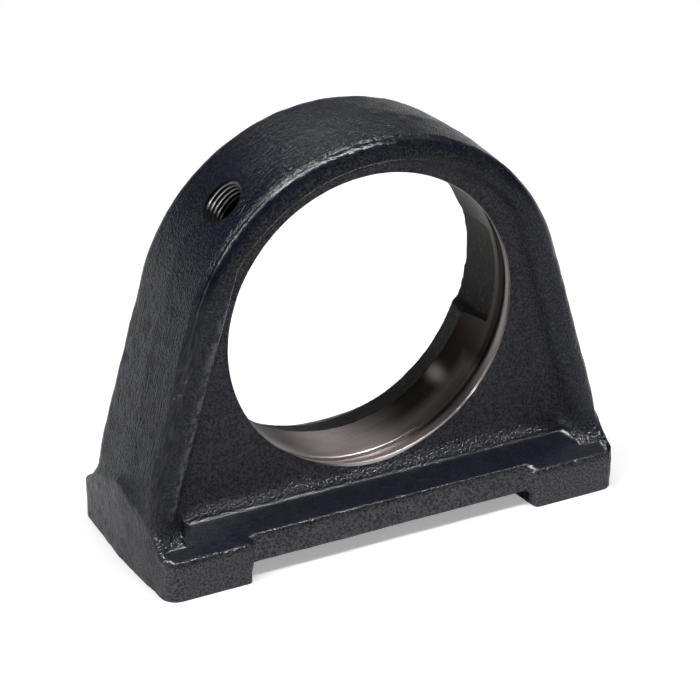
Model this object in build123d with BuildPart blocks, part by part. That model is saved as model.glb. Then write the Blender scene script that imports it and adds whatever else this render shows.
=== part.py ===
from build123d import *
from math import cos, radians, sin, sqrt, tan
import os

os.makedirs("parts", exist_ok=True)

# Short-base pillow block housing for a 62 mm spherical insert, tapped base.
# Frame: X along the base, Y front (-) to back (+), Z up. The base sits on Z = 0
# and the bore axis runs along Y through (0, 0, CENTRE_H). All sizes in mm.

# overall
BASE_L = 99.0  # over the base ends at the parting plane
BASE_W = 40.0  # front to back over the feet
CENTRE_H = 42.9  # base to bore axis
CROWN_R = 40.05  # crown radius at the parting plane
CROWN_Z = 41.15  # centre of the crown, a little below the bore axis
FLANK_TILT = 16.4  # flank angle from the vertical, degrees
DRAFT = 2.6  # mould draft of the outer wall, degrees
END_LEFT = 1.55  # how far the left end falls back at the front
END_RIGHT = 0.65  # the same at the right end, which was dressed less
END_BACK = 0.5  # both ends at the back

# arched body and its rim
RIM_HALF = 14.0  # half width of the arched body
EDGE_R = 3.4  # rounding of the crown's outer edges

# front recess
RIM_IN_R = 35.65  # rim's inner edge around the crown
RIM_IN_FLANK = 33.9  # rim's inner edge, measured square to the flank
WEB_Y = -9.3  # plane of the recessed web
RECESS_TAPER = 20.0  # slope of the recess wall, degrees
RECESS_R = 2.0  # fillet between the web and the recess wall

# base flange
FOOT_H = 8.0  # height of the feet at their front edge
LEDGE_TILT = 21.0  # slope of the flange's top, degrees
MID_SET = 2.0  # how far the flange's middle is set back
FOOT_IN = 30.6  # inner edge of a foot at the long sides
FOOT_STEP = 1.1  # run of a foot's slanted inner side
RELIEF_H = 2.85  # height of the relief under the middle
RELIEF_IN = 28.4  # half length of the relief at the parting plane
CORNER_R = 2.8  # rounding of the base's upright corners
FOOT_FILLET = 3.4  # fillet between the arched body and the flange's top
TOP_EDGE_R = 0.7  # rounding of the flange's top edges

# seat
SEAT_R = 31.0  # spherical seat, for a 62 mm insert
MOUTH_R = 29.85  # seat's mouth in the web
MOUTH_CHAMFER = 0.4
SEAT_BACK = 6.8  # where the machined seat ends
BACK_R = 32.2  # cast bore at the back face
GROOVE_Y = (-6.7, -3.5)  # lubrication groove
GROOVE_DEPTH = 0.8
GROOVE_RUN = 0.3  # lean of the groove's sides
SLOT_Y = -1.3  # front wall of the two loading slots, past the middle of the seat
SLOT_H = 20.2  # height of the slots at their front wall
SLOT_R = 31.65  # floor of the slots at their front wall
SLOT_DRAFT = 5.0  # how the slots open towards the back, degrees

# holes
BOLT_SPAN = 76.2  # distance between the two tapped holes
BOLT_TAP_D = 8.5  # M10 tapping hole
BOLT_DEPTH = 20.0
PORT_TAP_D = 8.6  # pipe thread 1/8 tapping hole
PORT_ANGLE = 45.0  # from the vertical, towards -X
PORT_Y = -2.5  # over the lubrication groove
DRILL_TIP = 59.0  # half angle of a drill's point, degrees

CLEAR = 5.0  # how far cutting shapes reach past the part
FLANK = radians(FLANK_TILT)
HALF_W = BASE_W / 2
HALF_L = BASE_L / 2
FRONT = Plane.XZ  # sketch X = X, sketch Y = Z, normal towards -Y


def arch_outline(crown_r, flank_offset, bottom_z):
    """Closed crown-and-flanks outline, drawn with sketch X = X and sketch Y = Z."""
    along = sqrt(max(crown_r**2 - flank_offset**2, 0.0))
    cx = flank_offset * cos(FLANK) - along * sin(FLANK)
    cz = CROWN_Z + flank_offset * sin(FLANK) + along * cos(FLANK)
    bx = (flank_offset - (bottom_z - CROWN_Z) * sin(FLANK)) / cos(FLANK)
    Line((-bx, bottom_z), (bx, bottom_z))
    Line((bx, bottom_z), (cx, cz))
    ThreePointArc((cx, cz), (0, CROWN_Z + crown_r), (-cx, cz))
    Line((-cx, cz), (-bx, bottom_z))


def end_outline():
    """Plan of the base, whose ends lean back from the parting plane."""
    Polyline(
        (-HALF_L, 0),
        (-HALF_L + END_LEFT, -HALF_W),
        (HALF_L - END_RIGHT, -HALF_W),
        (HALF_L, 0),
        (HALF_L - END_BACK, HALF_W),
        (-HALF_L + END_BACK, HALF_W),
        close=True,
    )


def ledge_z(y):
    """Height of the flange's sloping top at this distance from the middle."""
    return FOOT_H + (HALF_W - abs(y)) * tan(radians(LEDGE_TILT))


def seat_r(y):
    """Radius of the spherical seat in the section at Y = y."""
    return sqrt(SEAT_R**2 - y**2)


def near(value, target, room=0.05):
    return abs(value - target) < room


# ---------------------------------------------------------------- arched body
with BuildPart() as arch:
    with BuildSketch(FRONT):
        with BuildLine():
            arch_outline(CROWN_R, CROWN_R, 2.0)
        make_face()
    extrude(amount=RIM_HALF)
    outer = [f for f in arch.faces() if f.center().Z > 2.1 and not near(abs(f.normal_at().Y), 1)]
    draft(outer, FRONT, DRAFT)
    mirror(about=FRONT)
    rims = [e for e in arch.edges() if near(abs(e.center().Y), RIM_HALF) and e.center().Z > 3]
    fillet(rims, EDGE_R)

    # front recess with its leaning wall
    with BuildPart(mode=Mode.SUBTRACT) as recess:
        with BuildSketch(FRONT.offset(RIM_HALF)):
            with BuildLine():
                arch_outline(RIM_IN_R, RIM_IN_FLANK, 0.0)
            make_face()
        extrude(amount=-(RIM_HALF + WEB_Y))
        walls = [f for f in recess.faces() if f.center().Z > 2 and not near(abs(f.normal_at().Y), 1)]
        draft(walls, FRONT.offset(RIM_HALF), -RECESS_TAPER)

    # flush with the base ends
    with BuildPart(mode=Mode.INTERSECT):
        with BuildSketch():
            with BuildLine():
                end_outline()
            make_face()
        extrude(amount=90)

# ---------------------------------------------------------------- base flange
with BuildPart() as base:
    with BuildSketch(Plane.YZ):
        with BuildLine():
            Polyline(
                (-HALF_W, 0),
                (HALF_W, 0),
                (HALF_W, FOOT_H),
                (0, ledge_z(0)),
                (-HALF_W, FOOT_H),
                close=True,
            )
        make_face()
    extrude(amount=60, both=True)
    with BuildPart(mode=Mode.INTERSECT):
        with BuildSketch():
            with BuildLine():
                end_outline()
            make_face()
        extrude(amount=30)
    corners = [e for e in base.edges().filter_by(Axis.Z) if abs(e.center().Y) > 15]
    fillet(corners, CORNER_R)
    # the middle of both long sides is set back between the feet
    for side in (1, -1):
        with BuildSketch():
            with BuildLine():
                Polyline(
                    (-FOOT_IN, side * (HALF_W + 1)),
                    (-FOOT_IN, side * HALF_W),
                    (-FOOT_IN + FOOT_STEP, side * (HALF_W - MID_SET)),
                    (FOOT_IN - FOOT_STEP, side * (HALF_W - MID_SET)),
                    (FOOT_IN, side * HALF_W),
                    (FOOT_IN, side * (HALF_W + 1)),
                    close=True,
                )
            make_face()
        extrude(amount=30, mode=Mode.SUBTRACT)

# ---------------------------------------------------------------- housing
with BuildPart() as housing:
    add(arch.part)
    add(base.part)

    # the body flows into the flange's top
    feet = []
    for e in housing.edges():
        c = e.center()
        on_ledge = near(c.Z, ledge_z(c.Y), 0.9)
        if on_ledge and 7 < abs(c.Y) < RIM_HALF + 0.3 and abs(c.X) < HALF_L - 1.5:
            feet.append(e)
    fillet(feet, FOOT_FILLET)
    floor = [e for e in housing.edges() if near(e.center().Y, WEB_Y) and e.center().Z > 20]
    fillet(floor, RECESS_R)

    # top edges of the flange
    tops = []
    for e in housing.edges():
        c = e.center()
        if near(c.Z, ledge_z(c.Y), 0.4) and abs(c.Y) > HALF_W - MID_SET - 0.1:
            tops.append(e)
    fillet(tops, TOP_EDGE_R)

    # relief under the middle, between the feet
    with BuildSketch():
        with BuildLine():
            Polyline(
                (-FOOT_IN, -HALF_W),
                (FOOT_IN, -HALF_W),
                (RELIEF_IN, 0),
                (FOOT_IN, HALF_W),
                (-FOOT_IN, HALF_W),
                (-RELIEF_IN, 0),
                close=True,
            )
        make_face()
    extrude(amount=RELIEF_H, mode=Mode.SUBTRACT)

    # seat, its groove and the cast bore behind it
    with BuildSketch(Plane.YZ):
        with BuildLine():
            groove_in, groove_out = GROOVE_Y
            rim_y = WEB_Y + MOUTH_CHAMFER
            mid_y = (rim_y + groove_in) / 2
            far_y = (groove_out + SEAT_BACK) / 2
            Polyline(
                (SEAT_BACK, CENTRE_H + seat_r(SEAT_BACK)),
                (RIM_HALF, CENTRE_H + BACK_R),
                (RIM_HALF + CLEAR, CENTRE_H + BACK_R),
                (RIM_HALF + CLEAR, CENTRE_H),
                (WEB_Y - CLEAR, CENTRE_H),
                (WEB_Y - CLEAR, CENTRE_H + MOUTH_R),
                (WEB_Y, CENTRE_H + MOUTH_R),
                (rim_y, CENTRE_H + seat_r(rim_y)),
            )
            ThreePointArc(
                (rim_y, CENTRE_H + seat_r(rim_y)),
                (mid_y, CENTRE_H + seat_r(mid_y)),
                (groove_in, CENTRE_H + seat_r(groove_in)),
            )
            Polyline(
                (groove_in, CENTRE_H + seat_r(groove_in)),
                (groove_in + GROOVE_RUN, CENTRE_H + seat_r(groove_in) + GROOVE_DEPTH),
                (groove_out - GROOVE_RUN, CENTRE_H + seat_r(groove_out) + GROOVE_DEPTH),
                (groove_out, CENTRE_H + seat_r(groove_out)),
            )
            ThreePointArc(
                (groove_out, CENTRE_H + seat_r(groove_out)),
                (far_y, CENTRE_H + seat_r(far_y)),
                (SEAT_BACK, CENTRE_H + seat_r(SEAT_BACK)),
            )
        make_face()
    revolve(axis=Axis((0, 0, CENTRE_H), (0, 1, 0)), mode=Mode.SUBTRACT)

    # two loading slots, open at the back, through which the insert is swung into its seat
    with BuildPart(mode=Mode.SUBTRACT) as slots:
        with BuildSketch(FRONT.offset(-SLOT_Y)):
            with Locations((0, CENTRE_H)):
                Circle(SLOT_R)
                Rectangle(2 * SLOT_R + 2, SLOT_H, mode=Mode.INTERSECT)
        extrude(amount=-(RIM_HALF - SLOT_Y + CLEAR))
        walls = [f for f in slots.faces() if not near(abs(f.normal_at().Y), 1)]
        draft(walls, FRONT.offset(-SLOT_Y), SLOT_DRAFT)

    # grease port
    turn = radians(PORT_ANGLE)
    inside = SEAT_R - CLEAR
    port = Plane(
        origin=(-sin(turn) * inside, PORT_Y, CENTRE_H + cos(turn) * inside),
        x_dir=(0, 1, 0),
        z_dir=(-sin(turn), 0, cos(turn)),
    )
    with BuildSketch(port):
        Circle(PORT_TAP_D / 2)
    extrude(amount=30, mode=Mode.SUBTRACT)

    # tapped holes in the feet, drilled from below
    for x in (-BOLT_SPAN / 2, BOLT_SPAN / 2):
        with BuildSketch(Plane.YZ.offset(x)):
            with BuildLine():
                Polyline(
                    (0, -1),
                    (BOLT_TAP_D / 2, -1),
                    (BOLT_TAP_D / 2, BOLT_DEPTH),
                    (0, BOLT_DEPTH + BOLT_TAP_D / 2 / tan(radians(DRILL_TIP))),
                    close=True,
                )
            make_face()
        revolve(axis=Axis((x, 0, 0), (0, 0, 1)), mode=Mode.SUBTRACT)

housing.part.label = "housing"
export_step(housing.part, "parts/housing.step")
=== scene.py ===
"""Looks for the short-base pillow block housing: a painted sand casting with a machined seat.

The casting is made the way the real one is: a moulded body with drafts, fillets and a grainy
skin comes first, and the machined seat, the tapped holes and the flat underside are then cut
out of it. Lengths in this file are millimetres until a mesh is written, which is in metres.
"""
import math

import bpy
import numpy as np
from mathutils import Matrix, Vector


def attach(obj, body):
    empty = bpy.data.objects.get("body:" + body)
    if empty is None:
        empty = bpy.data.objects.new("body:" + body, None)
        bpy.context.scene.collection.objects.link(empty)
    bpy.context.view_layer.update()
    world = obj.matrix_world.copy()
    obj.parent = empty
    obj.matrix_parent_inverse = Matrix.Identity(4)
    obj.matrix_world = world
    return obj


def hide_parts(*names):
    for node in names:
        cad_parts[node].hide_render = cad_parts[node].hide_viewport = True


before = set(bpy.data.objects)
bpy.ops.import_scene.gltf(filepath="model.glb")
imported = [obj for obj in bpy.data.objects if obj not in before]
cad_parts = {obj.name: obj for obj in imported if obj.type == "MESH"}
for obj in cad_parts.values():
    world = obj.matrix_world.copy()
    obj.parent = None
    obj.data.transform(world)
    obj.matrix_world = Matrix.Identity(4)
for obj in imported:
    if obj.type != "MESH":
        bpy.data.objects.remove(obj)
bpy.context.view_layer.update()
MM = 0.001

# ------------------------------------------------------------------ sizes
# As in the CAD, apart from the small roundings that belong to the cast skin.
HALF_L, HALF_W = 49.5, 20.0
CENTRE_H = 42.9
CROWN_R, CROWN_Z = 40.05, 41.15
FLANK = math.radians(16.4)
DRAFT = math.tan(math.radians(2.6))
END_LEFT, END_RIGHT, END_BACK = 1.55, 0.65, 0.5
RIM_HALF, EDGE_R = 14.0, 3.4
RIM_IN_R, RIM_IN_FLANK = 35.65, 33.9
WEB_Y, RECESS_TAPER, RECESS_R = -9.3, math.radians(20.0), 2.1
FOOT_H, LEDGE_TILT, MID_SET = 8.0, math.radians(21.0), 2.0
FOOT_IN, FOOT_STEP, RELIEF_H, RELIEF_IN = 30.6, 1.1, 2.85, 28.4
CORNER_R, FOOT_FILLET, TOP_EDGE_R = 2.8, 3.4, 0.6
LIP_R, LIP_GROWTH = 0.9, 1.2  # rounding of the recess edge, and how much more it is low down
LIP_HEIGHTS = (34, 60)  # the growth fades out between these heights
END_BLEND = 2.4  # how softly the flanks run into the base ends
SEAT_R, MOUTH_R, MOUTH_CHAMFER, SEAT_BACK, BACK_R = 31.0, 29.85, 0.4, 6.8, 32.2
BACK_EDGE_R, MIDDLE_R = 0.5, 0.4  # roundings: rear of the bore, ends of the set-back middle
RELIEF_TOP_R, RELIEF_EDGE_R = 0.7, 0.5
SLOT_FLOOR_R, SLOT_WALL_R, SLOT_EDGE_R = 0.9, 0.4, 0.3
GROOVE_Y, GROOVE_DEPTH, GROOVE_RUN = (-6.7, -3.5), 0.8, 0.3
SLOT_Y, SLOT_H, SLOT_R, SLOT_DRAFT = -1.3, 20.2, 31.65, math.tan(math.radians(5.0))
BOLT_SPAN, BOLT_DEPTH = 76.2, 20.0
STOCK = 1.1  # material under the feet before they are milled flat
PORT_ANGLE, PORT_Y = math.radians(45.0), -2.5

rng = np.random.default_rng(30)


# ------------------------------------------------------------------ distance fields
def step_up(value, low, high):
    """0 below low, 1 above high, and a smooth rise between them."""
    t = np.clip((value - low) / (high - low), 0, 1)
    return t * t * (3 - 2 * t)


def round_max(a, b, r):
    """Intersection of two distance fields, with its edge rounded."""
    return np.minimum(np.maximum(a, b), -r) + np.hypot(np.maximum(a + r, 0), np.maximum(b + r, 0))


def round_min(a, b, r):
    """Union of two distance fields, with a fillet between them."""
    return -round_max(-a, -b, r)


def soft_max(a, b, width):
    """Intersection of two fields that meet at a slight angle, blended where they are this close."""
    near = np.maximum(width - np.abs(a - b), 0) / width
    return np.maximum(a, b) + near * near * width / 4


def outline(x, z, crown_r, flank):
    """Distance to the crown-and-flanks outline; z counts from the crown's centre."""
    ax = np.abs(x)
    side = ax * math.cos(FLANK) + z * math.sin(FLANK) - flank
    above = z * math.cos(FLANK) - ax * math.sin(FLANK)
    circle = np.hypot(x, z) - crown_r
    return np.where(above > 0, np.maximum(circle, side), side)


def end_field(x, y):
    """Distance past the base ends, which lean back from the parting plane."""
    left = -x - HALF_L + np.where(y < 0, -y * END_LEFT, y * END_BACK) / HALF_W
    right = x - HALF_L + np.where(y < 0, -y * END_RIGHT, y * END_BACK) / HALF_W
    return np.maximum(left, right)


def sphere_r(y):
    """Radius of the spherical seat in the section at this y."""
    return math.sqrt(SEAT_R**2 - y * y)


def cast_field(x, y, z):
    """Signed distance to the casting before any machining, negative inside."""
    ay = np.abs(y)
    zc = z - CROWN_Z
    arch = round_max(outline(x, zc, CROWN_R, CROWN_R) + ay * DRAFT, ay - RIM_HALF, EDGE_R)
    wall = outline(x, zc, RIM_IN_R, RIM_IN_FLANK) - (y + RIM_HALF) * -math.tan(RECESS_TAPER)
    recess = round_max(wall * math.cos(RECESS_TAPER), y - WEB_Y, RECESS_R)
    arch = round_max(arch, -recess, LIP_R + LIP_GROWTH * (1 - step_up(z, *LIP_HEIGHTS)))
    ends = end_field(x, y)
    arch = soft_max(arch, ends, END_BLEND)
    ledge = (z - FOOT_H - (HALF_W - ay) * math.tan(LEDGE_TILT)) * math.cos(LEDGE_TILT)
    base = round_max(round_max(ay - HALF_W, ends, CORNER_R), ledge, TOP_EDGE_R)
    side_x = FOOT_IN - FOOT_STEP * (HALF_W - ay) / MID_SET
    middle = round_max(HALF_W - MID_SET - ay, np.abs(x) - side_x, MIDDLE_R)
    base = round_max(base, -middle, TOP_EDGE_R)
    body = np.maximum(round_min(arch, base, FOOT_FILLET), ends)
    body = np.maximum(body, -STOCK - z)
    relief_x = RELIEF_IN + (FOOT_IN - RELIEF_IN) * ay / HALF_W
    relief = round_max(z - RELIEF_H, np.abs(x) - relief_x, RELIEF_TOP_R)
    body = round_max(body, -relief, RELIEF_EDGE_R)
    zb = z - CENTRE_H
    r = np.hypot(x, zb)
    core_r = sphere_r(SEAT_BACK)
    run = (BACK_R - core_r) / (RIM_HALF - SEAT_BACK)
    core = (r - core_r - (y - SEAT_BACK) * run) * math.cos(math.atan(run))
    body = round_max(body, -core, BACK_EDGE_R)
    opens = (y - SLOT_Y) * SLOT_DRAFT
    slot = round_max(np.abs(zb) - SLOT_H / 2 - opens, r - SLOT_R - opens, SLOT_FLOOR_R)
    slot = round_max(slot, SLOT_Y - y, SLOT_WALL_R)
    return round_max(body, -slot, SLOT_EDGE_R)


# ------------------------------------------------------------------ noise on the grid
LATTICE_SPREAD = 0.32  # spread that the spline weights leave of a lattice of unit spread


def spline_weights(points, spacing, low, count):
    """Cubic B-spline weights that spread a lattice of count values over these points."""
    at = (points - low) / spacing
    cell = np.floor(at).astype(int)
    t = at - cell
    weights = np.zeros((len(points), count), np.float32)
    parts = (
        (1 - t) ** 3 / 6,
        (3 * t**3 - 6 * t**2 + 4) / 6,
        (-3 * t**3 + 3 * t**2 + 3 * t + 1) / 6,
        t**3 / 6,
    )
    for k, part in enumerate(parts):
        weights[np.arange(len(points)), np.clip(cell + k, 0, count - 1)] += part
    return weights


def noise_grid(axes, spacing):
    """Smooth noise of unit spread on a regular grid, with its own spacing along each axis."""
    weights = []
    for points, step in zip(axes, spacing):
        count = int((points[-1] - points[0]) / step) + 5
        weights.append(spline_weights(points, step, points[0] - step, count))
    lattice = rng.standard_normal([w.shape[1] for w in weights]).astype(np.float32)
    out = np.tensordot(weights[0], lattice, (1, 0))
    out = np.tensordot(out, weights[1], (1, 1))
    out = np.tensordot(out, weights[2], (1, 1))
    return out / LATTICE_SPREAD


# ------------------------------------------------------------------ kinds of skin
ZONES = ("flank", "crown", "web", "ledge", "face", "calm", "lip", "turn", "corner")
# Each pair is where a kind of skin starts to rise and where it is full, for step_up.
SKIN_DEPTH = (-2.2, -0.8)  # distance past the outline, for the outside
BASE_TO_BODY = (11, 16)  # height, from the base's skin to the body's
FLANK_TO_CROWN = (-6, 8)  # distance above the crown's tangent line
BASE_END = (HALF_L - 3.2, HALF_L - 1.8)  # distance from the middle, for the base's ends
OFF_LEDGE = (0.25, 1.1)  # distance off the ledge's plane, where its skin ends
LEDGE_STARTS = (1.8, 2.8)  # distance from the wall behind the ledge
LEDGE_THINS = (-0.9, -0.5)  # distance past the base's edge
FACE_Y = (17.2, 17.9)  # distance from the parting plane, for the upright sides
WEB_THINS, LIP_Y, TURN_Y, CORNER_Y = (10.5, 12.5), (10.5, 12.0), (10.8, 11.6), (9.5, 11.5)
LIP_Z, TURN_Z, CORNER_Z, WEAR_TOP = (12, 17), (38, 50), (9, 13), (45, 60)
TURN_STARTS = (0.3, 1.2)  # distance outwards from the recess edge
CALM_STARTS, CALM_ENDS = (-80, -62), (-40, -12)  # degrees from the top of the crown


def band(value, centre, width):
    """1 at the centre, fading to both sides."""
    return np.exp(-(((value - centre) / width) ** 2))


def zones(x, y, z):
    """Weights of the skin's kinds at these places, in the order of ZONES.

    Flank and crown are the outside, flank with the base's ends. Ledge is the sloping top of the
    base, face its upright sides, and web all the rest. Calm is the smooth part of the crown on the
    left. Lip and turn are the inner and the outer edge of the front rim, and corner is the outer
    edge low down. Lip and corner carry painted light: a highlight on the left recess edge, and
    light on the low front rounding.
    """
    ax, ay = np.abs(x), np.abs(y)
    zc = z - CROWN_Z
    out = outline(x, zc, CROWN_R, CROWN_R) + ay * DRAFT
    outer = step_up(out, *SKIN_DEPTH) * step_up(z, *BASE_TO_BODY)
    above = zc * math.cos(FLANK) - ax * math.sin(FLANK)
    crown = outer * step_up(above, *FLANK_TO_CROWN)
    flank = np.clip(outer - crown, 0, 1) + step_up(ax, *BASE_END)

    ledge_z = FOOT_H + (HALF_W - ay) * math.tan(LEDGE_TILT)
    from_lip = outline(x, zc, RIM_IN_R, RIM_IN_FLANK)
    wall_y = np.where((from_lip < -2.0) & (y < 0), -WEB_Y, RIM_HALF)
    edge_y = np.where(ax > FOOT_IN - 0.6, HALF_W, HALF_W - MID_SET)
    ledge = (1 - step_up(np.abs(z - ledge_z), *OFF_LEDGE)) * (1 - outer)
    ledge = ledge * step_up(ay - wall_y, *LEDGE_STARTS)
    ledge = ledge * (1 - 0.4 * step_up(ay - edge_y, *LEDGE_THINS))
    web = (1 - outer) * (1 - ledge) * (1 - 0.45 * step_up(-y, *WEB_THINS))
    face = step_up(ay, *FACE_Y) * (1 - ledge)

    angle = np.degrees(np.arctan2(x, zc))
    calm = 0.8 * outer * step_up(angle, *CALM_STARTS) * (1 - step_up(angle, *CALM_ENDS))
    low_down = 1 - step_up(z, *WEAR_TOP)
    left_only = np.where(x < 0, 1.0, 0.1)
    # Lip carries a painted highlight along the recess edge on the left.
    lip = band(from_lip, 0.5, 1.1) * step_up(-y, *LIP_Y) * low_down
    lip = lip * step_up(z, *LIP_Z) * left_only
    turn = step_up(-y, *TURN_Y) * step_up(from_lip, *TURN_STARTS) * step_up(z, *TURN_Z)
    # Corner carries painted light on the low front rounding of the flanks.
    corner = band(out, -1.0, 0.9) * step_up(-y, *CORNER_Y) * step_up(z, *CORNER_Z) * low_down
    return flank.clip(0, 1), crown, web, ledge, face, calm, lip, turn, corner


# ------------------------------------------------------------------ field to mesh
# The 12 edges of a grid cell, whose corners are numbered by the bits of their x, y and z.
EDGES = [(a, b) for a in range(8) for b in range(a + 1, 8) if bin(a ^ b).count("1") == 1]
FLATTEST = 0.2  # the squared slope that a point's step is divided by is at least this


def sample(field, low, step, points):
    """The field at these points, read between the grid's values."""
    at = (points - low) / step
    at = np.clip(at, 0, np.array(field.shape) - 1.001)
    cell = at.astype(int)
    t = at - cell
    out = 0
    for corner in range(8):
        d = np.array([corner & 1, corner >> 1 & 1, corner >> 2 & 1])
        w = np.prod(np.where(d, t, 1 - t), axis=1)
        c = cell + d
        out = out + w * field[c[:, 0], c[:, 1], c[:, 2]]
    return out


def surface_net(field, low, step):
    """Closed quad mesh of the field's zero level."""
    inside = field < 0
    corners = []
    for c in range(8):
        i, j, k = c & 1, c >> 1 & 1, c >> 2 & 1
        nx, ny, nz = field.shape
        corners.append((slice(i, nx - 1 + i), slice(j, ny - 1 + j), slice(k, nz - 1 + k)))
    count = sum(inside[c].astype(np.int8) for c in corners)
    active = (count > 0) & (count < 8)
    cells = np.argwhere(active)
    number = np.full(active.shape, -1, np.int64)
    number[active] = np.arange(len(cells))
    values = np.stack([field[c][active] for c in corners])
    hit_sum = np.zeros((len(cells), 3))
    hits = np.zeros(len(cells))
    for a, b in EDGES:
        cross = (values[a] < 0) != (values[b] < 0)
        span = values[a] - values[b]
        t = np.where(cross, values[a] / np.where(cross, span, 1), 0)
        pa = np.array([a & 1, a >> 1 & 1, a >> 2 & 1])
        pb = np.array([b & 1, b >> 1 & 1, b >> 2 & 1])
        hit_sum += cross[:, None] * (pa + t[:, None] * (pb - pa))
        hits += cross
    points = low + (cells + hit_sum / hits[:, None]) * step
    quads = []
    for axis in range(3):
        u, v = (axis + 1) % 3, (axis + 2) % 3
        first = np.take(inside, range(field.shape[axis] - 1), axis)
        second = np.take(inside, range(1, field.shape[axis]), axis)
        at = np.argwhere(first != second)
        keep = (at[:, u] > 0) & (at[:, v] > 0)
        keep &= (at[:, u] < field.shape[u] - 1) & (at[:, v] < field.shape[v] - 1)
        at = at[keep]
        du, dv = np.eye(3, dtype=int)[u], np.eye(3, dtype=int)[v]
        ring = [at - du - dv, at - dv, at, at - du]
        quad = np.stack([number[r[:, 0], r[:, 1], r[:, 2]] for r in ring], axis=1)
        flip = ~first[at[:, 0], at[:, 1], at[:, 2]]
        quad[flip] = quad[flip][:, ::-1]
        quads.append(quad)
    for _ in range(2):  # draw the points onto the zero level
        value = sample(field, low, step, points)
        slope = np.stack(
            [
                sample(field, low, step, points + e) - sample(field, low, step, points - e)
                for e in np.eye(3) * step / 2
            ],
            axis=1,
        )
        slope /= step
        size = np.maximum((slope**2).sum(1), FLATTEST)
        points = points - np.clip(value / size, -step / 2, step / 2)[:, None] * slope
    return points, np.concatenate(quads)


def new_mesh(name, points, faces, materials):
    """Object from points in mm and faces of one size, or a list of faces of any size."""
    mesh = bpy.data.meshes.new(name)
    if isinstance(faces, list):
        mesh.from_pydata((np.asarray(points) * MM).tolist(), [], faces)
    else:
        size = faces.shape[1]
        mesh.vertices.add(len(points))
        mesh.vertices.foreach_set("co", (points * MM).astype(np.float32).ravel())
        mesh.loops.add(faces.size)
        mesh.loops.foreach_set("vertex_index", faces.ravel().astype(np.int32))
        mesh.polygons.add(len(faces))
        mesh.polygons.foreach_set("loop_start", np.arange(0, faces.size, size, dtype=np.int32))
        mesh.update(calc_edges=True)
    for m in materials:
        mesh.materials.append(m)
    piece = bpy.data.objects.new(name, mesh)
    bpy.context.scene.collection.objects.link(piece)
    return piece


# ------------------------------------------------------------------ the casting's skin
STEP = 0.55  # size of a grid cell
axes = [  # a little beyond the casting on every side
    np.arange(-52.0, 52.0, STEP),
    np.arange(-22.5, 22.5, STEP),
    np.arange(-2.2, 83.5, STEP),
]
gx, gy, gz = np.meshgrid(*axes, indexing="ij", sparse=True)
shape = tuple(len(a) for a in axes)
field = np.broadcast_to(cast_field(gx, gy, gz), shape).astype(np.float32)
grid_zones = [np.broadcast_to(w, shape).astype(np.float32) for w in zones(gx, gy, gz)]
flank_w, crown_w, web_w, ledge_w, _, calm_w, _, turn_w, _ = grid_zones
swell = noise_grid(axes, (9, 7, 9))
leather = noise_grid(axes, (1.7, 1.7, 1.7))
grain = noise_grid(axes, (0.9, 0.9, 0.9))
streak = noise_grid(axes, (1.2, 1.3, 7.0))
rough_w = (1 - 0.6 * calm_w) * (1 - 0.7 * turn_w)
# These factors are the relief in mm that each kind of skin has of each noise.
field += 0.02 * swell
field += (0.022 * crown_w * rough_w + 0.025 * flank_w + 0.016 * web_w + 0.006 * ledge_w) * leather
field += (0.020 * crown_w * rough_w + 0.028 * flank_w + 0.020 * web_w + 0.004 * ledge_w) * grain
field += 0.028 * flank_w * streak
points, quads = surface_net(field, np.array([a[0] for a in axes]), STEP)
print("skin", len(points), "points", len(quads), "quads")


# ------------------------------------------------------------------ materials
def new_material(name):
    m = bpy.data.materials.new(name)
    m.use_nodes = True
    return m


paint = new_material("painted_cast_skin")
core = new_material("cored_bore_skin")
turned = new_material("turned_iron")
tapped = new_material("tapped_iron")
milled = new_material("milled_iron")


# ------------------------------------------------------------------ machining
def lathe(name, profile, turns, material, place=Matrix.Identity(4)):
    """Solid of revolution about Y from (y, r) pairs that start and end on the axis."""
    angles = np.arange(turns) * 2 * math.pi / turns
    points = [(0, profile[0][0], 0)]
    for y, r in profile[1:-1]:
        points += [(r * math.cos(a), y, r * math.sin(a)) for a in angles]
    points.append((0, profile[-1][0], 0))
    faces = []
    rings = len(profile) - 2
    for i in range(turns):
        j = (i + 1) % turns
        faces.append([0, 1 + i, 1 + j])
        for k in range(rings - 1):
            a, b = 1 + k * turns, 1 + (k + 1) * turns
            faces.append([a + i, b + i, b + j, a + j])
        last = 1 + (rings - 1) * turns
        faces.append([last + i, len(points) - 1, last + j])
    spots = [place @ Vector(p) for p in points]
    return new_mesh(name, np.array(spots), faces, [material])


THREAD_SHAPE = [(0.0, 0), (0.14, 0), (0.42, 0.9), (0.5, 1), (0.64, 1), (0.92, 0.1)]


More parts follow.
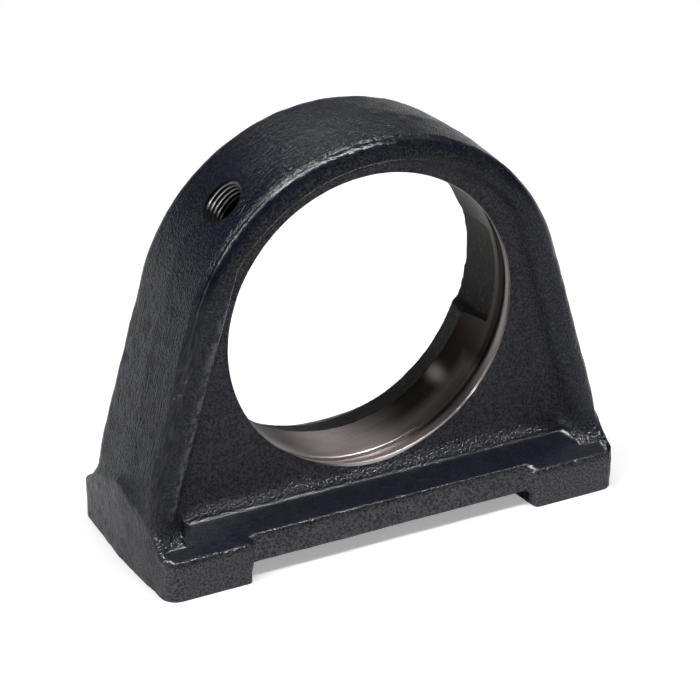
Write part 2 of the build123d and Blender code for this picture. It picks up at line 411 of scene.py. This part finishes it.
def thread(name, minor_r, major_r, pitch, low, high, turns, material, place):
    """A tap's shape about Y, its crests running along the mesh lines.

    THREAD_SHAPE gives one pitch as (part of the pitch, part of the way from minor to major radius).
    """
    per = len(THREAD_SHAPE)
    rows = int((high - low) / pitch) * per
    points = []
    for i in range(turns):
        a = 2 * math.pi * i / turns
        for k in range(rows + 1):
            s, rise = THREAD_SHAPE[k % per]
            y = low + (k // per + s + i / turns) * pitch
            r = minor_r + (major_r - minor_r) * rise
            points.append((r * math.cos(a), y, r * math.sin(a)))

    def at(i, k):
        return i * (rows + 1) + k

    faces = []
    for i in range(turns - 1):
        for k in range(rows):
            faces.append([at(i, k), at(i, k + 1), at(i + 1, k + 1), at(i + 1, k)])
    last = turns - 1
    for k in range(rows - per):
        faces.append([at(last, k), at(last, k + 1), at(0, k + per + 1), at(0, k + per)])
    lower, upper = len(points), len(points) + 1
    points += [(0, low + pitch / 2, 0), (0, low + (rows / per + 0.5) * pitch, 0)]
    loop = [at(i, 0) for i in range(turns)] + [at(0, k) for k in range(per, 0, -1)]
    faces += [[lower, a, b] for a, b in zip(loop, loop[1:] + loop[:1])]
    loop = [at(i, rows) for i in range(turns)]
    loop += [at(last, k) for k in range(rows - 1, rows - per - 1, -1)]
    faces += [[upper, b, a] for a, b in zip(loop, loop[1:] + loop[:1])]
    spots = [place @ Vector(p) for p in points]
    return new_mesh(name, np.array(spots), faces, [material])


def arc(y0, y1, steps):
    """Points (y, r) on the spherical seat."""
    return [(y, sphere_r(y)) for y in np.linspace(y0, y1, steps)]


IN_FRONT, PAST_SEAT = -12.5, SEAT_BACK + 1.2  # where the seat's cutter starts and ends
g0, g1 = GROOVE_Y
seat_profile = [(IN_FRONT, 0), (IN_FRONT, MOUTH_R), (WEB_Y, MOUTH_R)]
seat_profile += arc(WEB_Y + MOUTH_CHAMFER, g0, 5)
seat_profile += [(g0 + GROOVE_RUN, sphere_r(g0) + GROOVE_DEPTH)]
seat_profile += [(g1 - GROOVE_RUN, sphere_r(g1) + GROOVE_DEPTH)]
# The groove's far edge is broken by a narrow chamfer.
seat_profile += [(g1 - 0.08, sphere_r(g1) + 0.24), (g1 + 0.05, sphere_r(g1) + 0.11)]
seat_profile += arc(g1 + 0.3, PAST_SEAT, 18)
seat_profile += [(PAST_SEAT, 0)]
seat_cut = lathe("cut_seat", seat_profile, 288, turned, Matrix.Translation((0, 0, CENTRE_H)))

PORT_THREAD = dict(minor_r=4.28, major_r=4.86, pitch=0.907, low=26, high=43, turns=72)  # 1/8 pipe
TAP_THREAD = dict(minor_r=4.2, major_r=5.0, pitch=1.5, low=-3.0, high=16.5, turns=64)  # M10
DRILL_R, DRILL_TIP = 4.25, 2.55  # tapping drill, and the length of its tip
COUNTERSINK = [(-3, 5.6), (-0.02, 5.1), (0.75, DRILL_R)]  # (height, radius) at the underside
port_axis = Vector((-math.sin(PORT_ANGLE), 0, math.cos(PORT_ANGLE)))
port_turn = Vector((0, 1, 0)).rotation_difference(port_axis).to_matrix().to_4x4()
port = Matrix.Translation((0, PORT_Y, CENTRE_H)) @ port_turn
cuts = [seat_cut, thread("cut_port", material=tapped, place=port, **PORT_THREAD)]
for side in (-1, 1):
    foot = Matrix.Translation((side * BOLT_SPAN / 2, 0, 0)) @ Matrix.Rotation(math.pi / 2, 4, "X")
    drill = [(-3, 0)] + COUNTERSINK + [(BOLT_DEPTH, DRILL_R), (BOLT_DEPTH + DRILL_TIP, 0)]
    cuts.append(lathe(f"cut_drill{side}", drill, 64, tapped, foot))
    cuts.append(thread(f"cut_tap{side}", material=tapped, place=foot, **TAP_THREAD))
# A block that takes away all that lies below z = 0.
below = np.array([(x, y, z) for z in (-9, 0) for y in (-30, 30) for x in (-60, 60)], float)
box_faces = [[0, 2, 3, 1], [4, 5, 7, 6], [0, 1, 5, 4], [1, 3, 7, 5], [3, 2, 6, 7], [2, 0, 4, 6]]
cuts.append(new_mesh("cut_base", below, box_faces, [milled]))

body = new_mesh("housing_casting", points, quads, [paint])
for cut in cuts:
    m = body.modifiers.new(cut.name, "BOOLEAN")
    m.operation = "DIFFERENCE"
    m.solver = "MANIFOLD"
    m.material_mode = "TRANSFER"
    m.object = cut
graph = bpy.context.evaluated_depsgraph_get()
cast = bpy.data.meshes.new_from_object(body.evaluated_get(graph))
body.modifiers.clear()
body.data = cast
for cut in cuts:
    bpy.data.objects.remove(cut)
print("casting", len(cast.vertices), "points", len(cast.polygons), "faces")


# ------------------------------------------------------------------ shading of the mesh
def read(collection, name, kind, width=1):
    out = np.zeros(len(collection) * width, kind)
    collection.foreach_get(name, out)
    return out.reshape(-1, width) if width > 1 else out


def mark_sharp(mesh, limit):
    """Smooth shading, except across a change of material or a steep machined edge."""
    mesh.polygons.foreach_set("use_smooth", np.ones(len(mesh.polygons), bool))
    normals = read(mesh.polygons, "normal", np.float32, 3)
    kind = read(mesh.polygons, "material_index", np.int32)
    sides = read(mesh.polygons, "loop_total", np.int32)
    owner = np.repeat(np.arange(len(sides)), sides)
    edge = read(mesh.loops, "edge_index", np.int32)
    order = np.argsort(edge, kind="stable")
    a, b = owner[order[0::2]], owner[order[1::2]]
    bend = (normals[a] * normals[b]).sum(1)
    cut = (kind[a] > 0) & (kind[b] > 0) & (bend < math.cos(limit))
    sharp = np.zeros(len(mesh.edges), bool)
    sharp[edge[order[0::2]]] = cut | (kind[a] != kind[b])
    layer = mesh.attributes.new("sharp_edge", "BOOLEAN", "EDGE")
    layer.data.foreach_set("value", sharp)


SHARP_ANGLE = math.radians(28)
CORE_R = 34.2  # just outside the widest cored face in the bore
STAIN_LOW, STAIN_HIGH = (-86, -60), (-42, -30)  # degrees from the right, upwards
SPOT_ANGLE, SPOT_Y = -46, 4.6
ROOT_R = (4.32, 4.55)  # distance from the port's axis
PORT_DEPTH, PORT_RIM = (33.5, 36.5), (37.8, 38.2)  # distance from the bore's centre


def inside_bore(x, y, z):
    """Where a cast face belongs to the cored bore and its slots, not to the outside."""
    depth = (y > SLOT_Y - 0.5) & (y < RIM_HALF - 0.25)
    return (np.hypot(x, z - CENTRE_H) < CORE_R) & depth


def set_core_faces(mesh):
    """Give the cored faces inside the bore their own material."""
    mesh.materials.append(core)
    at = read(mesh.polygons, "center", np.float32, 3) / MM
    kind = read(mesh.polygons, "material_index", np.int32)
    cored = inside_bore(*at.T) & (kind == 0)
    mesh.polygons.foreach_set("material_index", np.where(cored, len(mesh.materials) - 1, kind))


def seat_stain(x, y, z):
    """Dark stain on the turned seat, from low right round to the top, and one painted highlight
    spot.

    The stain is thinner at the front of the seat, and the left half of the mouth is dark.
    """
    angle = np.degrees(np.arctan2(z - CENTRE_H, x))
    deep = step_up(y, -1.0, 3.0)
    stain = step_up(angle, *STAIN_LOW) * (0.35 + 0.65 * deep)
    stain = np.maximum(stain, step_up(angle, *STAIN_HIGH))
    # A pale spot on the seat, a painted highlight.
    spot = 0.7 * band(angle, SPOT_ANGLE, 2.6) * band(y, SPOT_Y, 3.0)
    front = 1 - step_up(y, -6.2, -3.4)
    left_mouth = (1 - step_up(y, -9.0, -8.6)) * step_up(-x, 4, 14)
    stain = stain * (1 - spot) * (1 - 0.7 * front)
    return np.maximum(stain, left_mouth).clip(0, 1), spot


def port_shade_mask(x, y, z):
    """Painted shade in the grease port: in the thread's roots, deep down, on the low side and at
    the rim.
    """
    along = (z - CENTRE_H - x) / math.sqrt(2)
    downhill = -(x + z - CENTRE_H) / math.sqrt(2)
    from_axis = np.hypot(downhill, y - PORT_Y)
    port_shade = np.maximum(step_up(from_axis, *ROOT_R), 1 - step_up(along, *PORT_DEPTH))
    port_shade = np.maximum(port_shade, step_up(downhill, 0.6, 2.8))
    port_shade = np.maximum(port_shade, step_up(along, *PORT_RIM))
    return port_shade * (z > CENTRE_H)


def add_mask(mesh, name, values):
    layer = mesh.attributes.new(name, "FLOAT", "POINT")
    layer.data.foreach_set("value", values.astype(np.float32))


mark_sharp(cast, SHARP_ANGLE)
set_core_faces(cast)
px, py, pz = (read(cast.vertices, "co", np.float32, 3) / MM).T.astype(float)
stain_values, spot_values = seat_stain(px, py, pz)
add_mask(cast, "patina", stain_values)
# Painted highlight on the seat.
add_mask(cast, "seat_highlight", spot_values)
# Painted shade in the grease port.
add_mask(cast, "port_shade", port_shade_mask(px, py, pz))
for zone_name, values in zip(ZONES, zones(px, py, pz)):
    add_mask(cast, zone_name, values)


def wrap_coords(x, y, z):
    """Length along the crown-and-flanks outline, Y, and depth, in metres."""
    zc = z - CROWN_Z
    above = zc * math.cos(FLANK) - np.abs(x) * math.sin(FLANK)
    side = np.abs(x) * math.cos(FLANK) + zc * math.sin(FLANK)
    angle = np.arctan2(side, np.maximum(above, 0))
    along = np.where(above > 0, CROWN_R * angle, CROWN_R * math.pi / 2 - above) - CROWN_R * FLANK
    depth = np.where(above > 0, np.hypot(x, zc), side)
    return np.stack([along * np.sign(x), y, depth], axis=1) * MM


layer = cast.attributes.new("wrap", "FLOAT_VECTOR", "POINT")
layer.data.foreach_set("vector", wrap_coords(px, py, pz).astype(np.float32).ravel())


# ------------------------------------------------------------------ node helpers
def put(tree, kind, inputs=(), **settings):
    """New shader node; inputs is [(socket, value or another node's output)]."""
    n = tree.nodes.new("ShaderNode" + kind)
    for key, value in settings.items():
        setattr(n, key, value)
    for socket, value in inputs:
        if isinstance(value, bpy.types.NodeSocket):
            tree.links.new(value, n.inputs[socket])
        else:
            n.inputs[socket].default_value = value
    return n


def noise(tree, where, scale, detail=2.0, rough=0.5):
    inputs = [("Vector", where), ("Scale", scale), ("Detail", detail), ("Roughness", rough)]
    return put(tree, "TexNoise", inputs).outputs["Fac"]


def math_node(tree, kind, a, b=0.0):
    return put(tree, "Math", [(0, a), (1, b)], operation=kind).outputs[0]


def product(tree, first, *rest):
    for value in rest:
        first = math_node(tree, "MULTIPLY", first, value)
    return first


def total(tree, first, *rest):
    for value in rest:
        first = math_node(tree, "ADD", first, value)
    return first


def remap(tree, value, low, high, to_low=0.0, to_high=1.0):
    inputs = [(0, value), (1, low), (2, high), (3, to_low), (4, to_high)]
    return put(tree, "MapRange", inputs).outputs[0]


def damp(tree, weight, left):
    """A factor of 1 where the weight is 0, falling to what is left where it is 1."""
    return remap(tree, weight, 0.0, 1.0, 1.0, left)


def blend(tree, fac, a, b):
    """Mix of two colours; a plain colour is three numbers."""
    ends = [(socket, (*c, 1) if isinstance(c, tuple) else c) for socket, c in ((6, a), (7, b))]
    return put(tree, "Mix", [(0, fac), *ends], data_type="RGBA").outputs[2]


def mask(tree, name):
    return put(tree, "Attribute", attribute_name=name).outputs["Fac"]


def scaled(tree, where, scale):
    return put(tree, "VectorMath", [(0, where), (1, scale)], operation="MULTIPLY").outputs[0]


def object_place(tree):
    return put(tree, "TexCoord").outputs["Object"]


def set_bump(tree, height, distance):
    """Bump from this height, its full depth in metres."""
    bump = put(tree, "Bump", [("Strength", 1.0), ("Distance", distance), ("Height", height)])
    tree.links.new(bump.outputs[0], tree.nodes["Principled BSDF"].inputs["Normal"])


# ------------------------------------------------------------------ painted cast skin
tree = paint.node_tree
shader = tree.nodes["Principled BSDF"]
place = object_place(tree)
wrap = put(tree, "Attribute", attribute_name="wrap").outputs["Vector"]
kinds = {name: mask(tree, name) for name in ZONES}
# Noise scales are per metre: fine is about half a millimetre across.
fine = noise(tree, place, 2300, 1.0, 0.6)
mid = noise(tree, place, 900, 2.0, 0.6)
broad = noise(tree, place, 90, 3.0, 0.6)
run_crown = noise(tree, scaled(tree, wrap, (1100, 2700, 1100)), 1.0, 1.0)
run_flank = noise(tree, scaled(tree, wrap, (420, 2700, 1100)), 1.0, 1.0)

PAINT_LOW, PAINT_HIGH = (0.0030, 0.0052, 0.0130), (0.0040, 0.0062, 0.0140)
colour = blend(tree, remap(tree, broad, 0.3, 0.7), PAINT_LOW, PAINT_HIGH)
rough_zone = product(tree, damp(tree, kinds["ledge"], 0.06), damp(tree, kinds["calm"], 0.25))
pale_zone = product(
    tree, damp(tree, kinds["flank"], 0.15), remap(tree, kinds["web"], 0.0, 1.0, 0.8, 1.1)
)
patchy = remap(tree, mid, 0.38, 0.60, 0.15, 1.0)
grains = product(tree, remap(tree, fine, 0.50, 0.60), rough_zone, patchy, pale_zone, 0.6)
dust = product(tree, kinds["flank"], remap(tree, run_flank, 0.52, 0.60), 0.10)
dust_crown = product(tree, kinds["crown"], remap(tree, run_crown, 0.50, 0.60))
dust_crown = product(tree, dust_crown, damp(tree, kinds["calm"], 0.1), 0.2)
film = product(tree, kinds["web"], remap(tree, fine, 0.38, 0.62, 0.25, 1.0))
smut = product(tree, kinds["ledge"], remap(tree, fine, 0.35, 0.65, 0.06, 0.24))
# Painted light: lighter streaks, in the flanks' streak pattern, on the front rounding of the flanks
# low down, lit as the flanks are.
rounding_light = product(tree, kinds["corner"], remap(tree, run_flank, 0.40, 0.60, 0.2, 0.9))
chalk = product(tree, kinds["face"], remap(tree, fine, 0.35, 0.65, 0.15, 0.95))
# Painted highlight: a paler band along the recess edge on the left, low down.
lip_highlight = product(tree, kinds["lip"], remap(tree, mid, 0.40, 0.58, 0.15, 1.0))
LAYERS = [
    (grains, (0.050, 0.051, 0.060)),
    (dust, (0.060, 0.060, 0.070)),
    (dust_crown, (0.054, 0.054, 0.062)),
    (film, (0.060, 0.060, 0.070)),
    (smut, (0.030, 0.034, 0.044)),
    # painted light on the low front rounding
    (rounding_light, (0.040, 0.040, 0.047)),
    (chalk, (0.122, 0.119, 0.138)),
    # painted highlight along the left recess edge
    (lip_highlight, (0.160, 0.160, 0.190)),
]
for amount, tint in LAYERS:
    colour = blend(tree, amount, colour, tint)
tree.links.new(colour, shader.inputs["Base Color"])

gloss = remap(tree, mid, 0.3, 0.7, 0.13, 0.21)
gloss = total(tree, gloss, product(tree, kinds["flank"], 0.04), product(tree, kinds["turn"], -0.05))
tree.links.new(gloss, shader.inputs["Roughness"])
shader.inputs["Specular IOR Level"].default_value = 0.2

depth = product(tree, total(tree, product(tree, fine, 1.2), mid), damp(tree, kinds["ledge"], 0.15))
depth = total(tree, depth, product(tree, run_flank, kinds["flank"], 1.6))
depth = total(tree, depth, product(tree, run_crown, kinds["crown"], 1.4))
depth = product(tree, depth, damp(tree, kinds["calm"], 0.5), damp(tree, kinds["turn"], 0.12))
set_bump(tree, depth, 0.00024)

# ------------------------------------------------------------------ turned seat
SEAT_DARK, SEAT_LIGHT = (0.285, 0.240, 0.235), (0.435, 0.395, 0.385)
# The last colour is that of the painted highlight on the seat.
SEAT_PIT, SEAT_STAIN, SEAT_HIGHLIGHT = (0.10, 0.075, 0.06), (0.024, 0.019, 0.018), (0.62, 0.58, 0.58)
tree = turned.node_tree
shader = tree.nodes["Principled BSDF"]
place = object_place(tree)
grooves = noise(tree, scaled(tree, place, (25, 5200, 25)), 1.0, 3.0, 0.6)
smear = noise(tree, scaled(tree, place, (60, 260, 60)), 1.0, 3.0, 0.6)
pits = noise(tree, place, 1500, 2.0, 0.6)
colour = blend(tree, remap(tree, smear, 0.3, 0.7), SEAT_DARK, SEAT_LIGHT)
colour = blend(tree, remap(tree, pits, 0.62, 0.75, 0.0, 0.5), colour, SEAT_PIT)
colour = blend(tree, product(tree, mask(tree, "patina"), 0.96), colour, SEAT_STAIN)
# Painted highlight: a pale spot where the seat reflects light.
colour = blend(tree, mask(tree, "seat_highlight"), colour, SEAT_HIGHLIGHT)
tree.links.new(colour, shader.inputs["Base Color"])
tree.links.new(remap(tree, grooves, 0.3, 0.7, 0.28, 0.42), shader.inputs["Roughness"])
shader.inputs["Metallic"].default_value = 1.0
shader.inputs["Specular Tint"].default_value = (0.82, 0.82, 0.82, 1)
set_bump(tree, grooves, 0.000012)

# ------------------------------------------------------------------ cored faces in the bore
CORE_DARK, CORE_RUST = (0.011, 0.011, 0.010), (0.020, 0.016, 0.014)
CORE_SAND = (0.060, 0.056, 0.054)
tree = core.node_tree
shader = tree.nodes["Principled BSDF"]
place = object_place(tree)
sand = noise(tree, place, 1100, 3.0, 0.6)
rust = noise(tree, place, 160, 3.0, 0.6)
colour = blend(tree, remap(tree, rust, 0.35, 0.65), CORE_DARK, CORE_RUST)
colour = blend(tree, remap(tree, sand, 0.56, 0.68, 0.0, 0.7), colour, CORE_SAND)
tree.links.new(colour, shader.inputs["Base Color"])
shader.inputs["Roughness"].default_value = 0.6
shader.inputs["Specular IOR Level"].default_value = 0.12
set_bump(tree, sand, 0.00018)

# ------------------------------------------------------------------ tapped holes and underside
TAPPED_IRON, MILLED_IRON = (0.20, 0.20, 0.21), (0.30, 0.29, 0.28)
# The second colour is the near black of the painted shade in the grease port.
IRON_STAIN, PORT_SHADE = (0.12, 0.10, 0.09), (0.003, 0.0026, 0.0026)
for material, metal in ((tapped, TAPPED_IRON), (milled, MILLED_IRON)):
    tree = material.node_tree
    shader = tree.nodes["Principled BSDF"]
    stain = noise(tree, object_place(tree), 700, 3.0, 0.6)
    colour = blend(tree, remap(tree, stain, 0.4, 0.75, 0.0, 0.7), metal, IRON_STAIN)
    gloss = remap(tree, stain, 0.3, 0.7, 0.36, 0.52)
    if material == tapped:
        # Painted shade darkens the grease port.
        port_shade_weight = mask(tree, "port_shade")
        colour = blend(tree, port_shade_weight, colour, PORT_SHADE)
        gloss = total(tree, gloss, product(tree, port_shade_weight, 0.3))
    tree.links.new(colour, shader.inputs["Base Color"])
    tree.links.new(gloss, shader.inputs["Roughness"])
    shader.inputs["Metallic"].default_value = 1.0

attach(body, "root")
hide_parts("housing")

# ------------------------------------------------------------------ floor and world
FLOOR_HALF = 3000.0
floor_spots = [(x, y, 0.0) for y in (-FLOOR_HALF, FLOOR_HALF) for x in (-FLOOR_HALF, FLOOR_HALF)]
ground = new_material("pale_floor")
floor = new_mesh("floor", np.array(floor_spots), [[0, 1, 3, 2]], [ground])
tree = ground.node_tree
shader = tree.nodes["Principled BSDF"]
shader.inputs["Base Color"].default_value = (0.86, 0.86, 0.86, 1)
shader.inputs["Roughness"].default_value = 0.9
shader.inputs["Specular IOR Level"].default_value = 0.0
# The camera sees the floor lighter than the lamps make it, and reflections slightly lighter.
path = put(tree, "LightPath")
in_gloss = product(tree, path.outputs["Is Glossy Ray"], 0.1)
seen = math_node(tree, "MAXIMUM", path.outputs["Is Camera Ray"], in_gloss)
shader.inputs["Emission Color"].default_value = (1, 1, 1, 1)
tree.links.new(product(tree, seen, 0.35), shader.inputs["Emission Strength"])

# The sky is dim and even, with one bright sweep low down on the left.
world = bpy.data.worlds.new("studio")
bpy.context.scene.world = world
world.use_nodes = True
tree = world.node_tree
look = put(tree, "TexCoord").outputs["Generated"]
across, _, height = put(tree, "SeparateXYZ", [(0, look)]).outputs
sky = remap(tree, height, 0.0, 0.5, 0.07, 0.11)
sweep = product(tree, remap(tree, height, 0.04, 0.14, 0.9, 0.0), remap(tree, across, -0.2, -0.5))
tree.links.new(total(tree, sky, sweep), tree.nodes["Background"].inputs["Strength"])
tree.nodes["Background"].inputs["Color"].default_value = (1, 1, 1, 1)


# ------------------------------------------------------------------ lamps
LAMPS_AIM_AT = Vector((0, 0, 0.045))


def softbox(name, direction, distance, size, watts, shine_only=False):
    """Rectangular lamp that looks at the part from this direction; all in metres."""
    light = bpy.data.lights.new(name, "AREA")
    light.shape = "RECTANGLE"
    light.size, light.size_y = size
    light.energy = watts
    lamp = bpy.data.objects.new(name, light)
    bpy.context.scene.collection.objects.link(lamp)
    away = Vector(direction).normalized()
    lamp.location = LAMPS_AIM_AT + away * distance
    lamp.rotation_euler = away.to_track_quat("Z", "Y").to_euler()
    lamp.visible_diffuse = not shine_only


KEY, SHOULDER = (-0.03, -0.10, 0.99), (-0.72, -0.08, 0.68)
SIDE, ABOVE_RIGHT, BACK = (-0.99, -0.08, 0.10), (0.62, 0.33, 0.78), (0.40, 0.80, 0.45)
softbox("key", KEY, 1.0, (1.0, 0.06), 8.0)
softbox("shoulder", SHOULDER, 1.0, (0.05, 0.6), 2.0)
softbox("side", SIDE, 1.0, (0.05, 0.4), 0.5)
softbox("above_right", ABOVE_RIGHT, 1.0, (0.5, 0.5), 0.4)
softbox("above_right_shine", ABOVE_RIGHT, 1.0, (0.5, 0.5), 1.5, shine_only=True)
softbox("back", BACK, 1.1, (0.6, 0.6), 0.6)
# These two draw the narrow lights along the painted edges.
softbox("key_shine", KEY, 1.0, (1.0, 0.04), 60.0, shine_only=True)
softbox("shoulder_shine", SHOULDER, 1.0, (0.04, 0.6), 16.0, shine_only=True)

# ------------------------------------------------------------------ camera
AZIMUTH, ELEVATION, ROLL = (math.radians(v) for v in (-26.69, 26.434, -0.332))
DISTANCE = 479.41
FRAME_PX, FOCAL_PX, SHIFT_X_PX, SHIFT_Y_PX = 700, 2539.755, 0.039, -104.867
AIM_AT = Vector((0, 0, 55))
level = math.cos(ELEVATION)
back = Vector((math.sin(AZIMUTH) * level, -math.cos(AZIMUTH) * level, math.sin(ELEVATION)))
right = Vector((math.cos(AZIMUTH), math.sin(AZIMUTH), 0))
up = back.cross(right)
rolled_right = math.cos(ROLL) * right + math.sin(ROLL) * up
rolled_up = -math.sin(ROLL) * right + math.cos(ROLL) * up
lens_data = bpy.data.cameras.new("camera")
lens_data.lens = FOCAL_PX / FRAME_PX * lens_data.sensor_width
camera = bpy.data.objects.new("camera", lens_data)
bpy.context.scene.collection.objects.link(camera)
turn = Matrix((rolled_right, rolled_up, back)).transposed()
aim = Vector((SHIFT_X_PX / FOCAL_PX * DISTANCE, -SHIFT_Y_PX / FOCAL_PX * DISTANCE, -DISTANCE))
camera.matrix_world = Matrix.Translation((AIM_AT - turn @ aim) * MM) @ turn.to_4x4()
bpy.context.scene.camera = camera

bpy.context.scene.view_settings.view_transform = "Standard"
